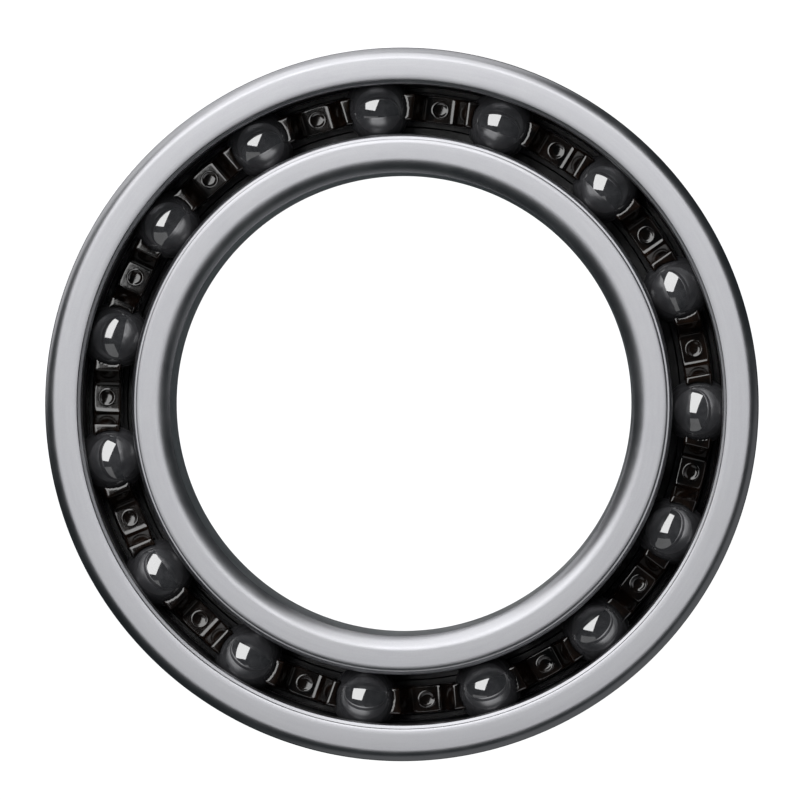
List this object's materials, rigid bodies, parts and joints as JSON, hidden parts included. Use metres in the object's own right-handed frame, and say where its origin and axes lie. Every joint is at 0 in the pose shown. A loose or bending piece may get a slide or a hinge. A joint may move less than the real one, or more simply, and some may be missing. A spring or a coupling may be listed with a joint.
{
  "type": "deep groove ball bearing",
  "caption": "Thin-section deep groove ball bearing, 24 x 37 x 7 mm: ground steel rings, ceramic balls in a crown cage, open at the front and rubber sealed at the rear.",
  "frame": {"origin": "on the bearing's axis in the plane of the ball centres, midway between its two faces: the centre of its box", "axes": "+Z along the bearing's axis, out of the open front face where the cage's claws show; X and Y are alike, with ball_01 1.3 degrees before +X"},
  "size_m": [0.037, 0.037, 0.007],
  "materials": {
    "ring_steel": "fine ground, satin",
    "ball_ceramic": "polished",
    "cage_polymer": "moulded, lightly oiled",
    "seal_rubber": "moulded, matt",
    "insert_steel": "pressed sheet, dull"
  },
  "bodies": {
    "outer": {"outer_ring": "ring_steel", "rear_seal_rubber": "seal_rubber", "rear_seal_insert": "insert_steel"},
    "inner": {"inner_ring": "ring_steel"},
    "cage": {"cage": "cage_polymer"},
    "ball_01": {"ball_01": "ball_ceramic"},
    "ball_02": {"ball_02": "ball_ceramic"},
    "ball_03": {"ball_03": "ball_ceramic"},
    "ball_04": {"ball_04": "ball_ceramic"},
    "ball_05": {"ball_05": "ball_ceramic"},
    "ball_06": {"ball_06": "ball_ceramic"},
    "ball_07": {"ball_07": "ball_ceramic"},
    "ball_08": {"ball_08": "ball_ceramic"},
    "ball_09": {"ball_09": "ball_ceramic"},
    "ball_10": {"ball_10": "ball_ceramic"},
    "ball_11": {"ball_11": "ball_ceramic"},
    "ball_12": {"ball_12": "ball_ceramic"},
    "ball_13": {"ball_13": "ball_ceramic"},
    "ball_14": {"ball_14": "ball_ceramic"},
    "ball_15": {"ball_15": "ball_ceramic"}
  },
  "joints": [
    {"name": "inner_ring_spin", "type": "hinge", "parent": "outer", "child": "inner", "pos_m": [0, 0, 0], "axis": [0, 0, 1], "continuous": true},
    {"name": "cage_spin", "type": "hinge", "parent": "outer", "child": "cage", "pos_m": [0, 0, 0], "axis": [0, 0, 1], "continuous": true},
    {"name": "ball_01_roll", "type": "hinge", "parent": "cage", "child": "ball_01", "pos_m": [0.0155, -0.00035, 0], "axis": [0, 0, 1], "continuous": true},
    {"name": "ball_02_roll", "type": "hinge", "parent": "cage", "child": "ball_02", "pos_m": [0.0143, 0.00598, 0], "axis": [0, 0, 1], "continuous": true},
    {"name": "ball_03_roll", "type": "hinge", "parent": "cage", "child": "ball_03", "pos_m": [0.01063, 0.01128, 0], "axis": [0, 0, 1], "continuous": true},
    {"name": "ball_04_roll", "type": "hinge", "parent": "cage", "child": "ball_04", "pos_m": [0.00512, 0.01463, 0], "axis": [0, 0, 1], "continuous": true},
    {"name": "ball_05_roll", "type": "hinge", "parent": "cage", "child": "ball_05", "pos_m": [-0.00127, 0.01545, 0], "axis": [0, 0, 1], "continuous": true},
    {"name": "ball_06_roll", "type": "hinge", "parent": "cage", "child": "ball_06", "pos_m": [-0.00744, 0.0136, 0], "axis": [0, 0, 1], "continuous": true},
    {"name": "ball_07_roll", "type": "hinge", "parent": "cage", "child": "ball_07", "pos_m": [-0.01233, 0.00939, 0], "axis": [0, 0, 1], "continuous": true},
    {"name": "ball_08_roll", "type": "hinge", "parent": "cage", "child": "ball_08", "pos_m": [-0.01508, 0.00357, 0], "axis": [0, 0, 1], "continuous": true},
    {"name": "ball_09_roll", "type": "hinge", "parent": "cage", "child": "ball_09", "pos_m": [-0.01523, -0.00288, 0], "axis": [0, 0, 1], "continuous": true},
    {"name": "ball_10_roll", "type": "hinge", "parent": "cage", "child": "ball_10", "pos_m": [-0.01274, -0.00882, 0], "axis": [0, 0, 1], "continuous": true},
    {"name": "ball_11_roll", "type": "hinge", "parent": "cage", "child": "ball_11", "pos_m": [-0.00805, -0.01324, 0], "axis": [0, 0, 1], "continuous": true},
    {"name": "ball_12_roll", "type": "hinge", "parent": "cage", "child": "ball_12", "pos_m": [-0.00197, -0.01537, 0], "axis": [0, 0, 1], "continuous": true},
    {"name": "ball_13_roll", "type": "hinge", "parent": "cage", "child": "ball_13", "pos_m": [0.00445, -0.01485, 0], "axis": [0, 0, 1], "continuous": true},
    {"name": "ball_14_roll", "type": "hinge", "parent": "cage", "child": "ball_14", "pos_m": [0.01011, -0.01175, 0], "axis": [0, 0, 1], "continuous": true},
    {"name": "ball_15_roll", "type": "hinge", "parent": "cage", "child": "ball_15", "pos_m": [0.01401, -0.00662, 0], "axis": [0, 0, 1], "continuous": true}
  ],
  "couplings": [
    {"joint": "cage_spin", "follows": "inner_ring_spin", "ratio": 0.44355},
    {"joint": "ball_01_roll", "follows": "inner_ring_spin", "ratio": -4.3721},
    {"joint": "ball_02_roll", "follows": "inner_ring_spin", "ratio": -4.3721},
    {"joint": "ball_03_roll", "follows": "inner_ring_spin", "ratio": -4.3721},
    {"joint": "ball_04_roll", "follows": "inner_ring_spin", "ratio": -4.3721},
    {"joint": "ball_05_roll", "follows": "inner_ring_spin", "ratio": -4.3721},
    {"joint": "ball_06_roll", "follows": "inner_ring_spin", "ratio": -4.3721},
    {"joint": "ball_07_roll", "follows": "inner_ring_spin", "ratio": -4.3721},
    {"joint": "ball_08_roll", "follows": "inner_ring_spin", "ratio": -4.3721},
    {"joint": "ball_09_roll", "follows": "inner_ring_spin", "ratio": -4.3721},
    {"joint": "ball_10_roll", "follows": "inner_ring_spin", "ratio": -4.3721},
    {"joint": "ball_11_roll", "follows": "inner_ring_spin", "ratio": -4.3721},
    {"joint": "ball_12_roll", "follows": "inner_ring_spin", "ratio": -4.3721},
    {"joint": "ball_13_roll", "follows": "inner_ring_spin", "ratio": -4.3721},
    {"joint": "ball_14_roll", "follows": "inner_ring_spin", "ratio": -4.3721},
    {"joint": "ball_15_roll", "follows": "inner_ring_spin", "ratio": -4.3721}
  ]
}
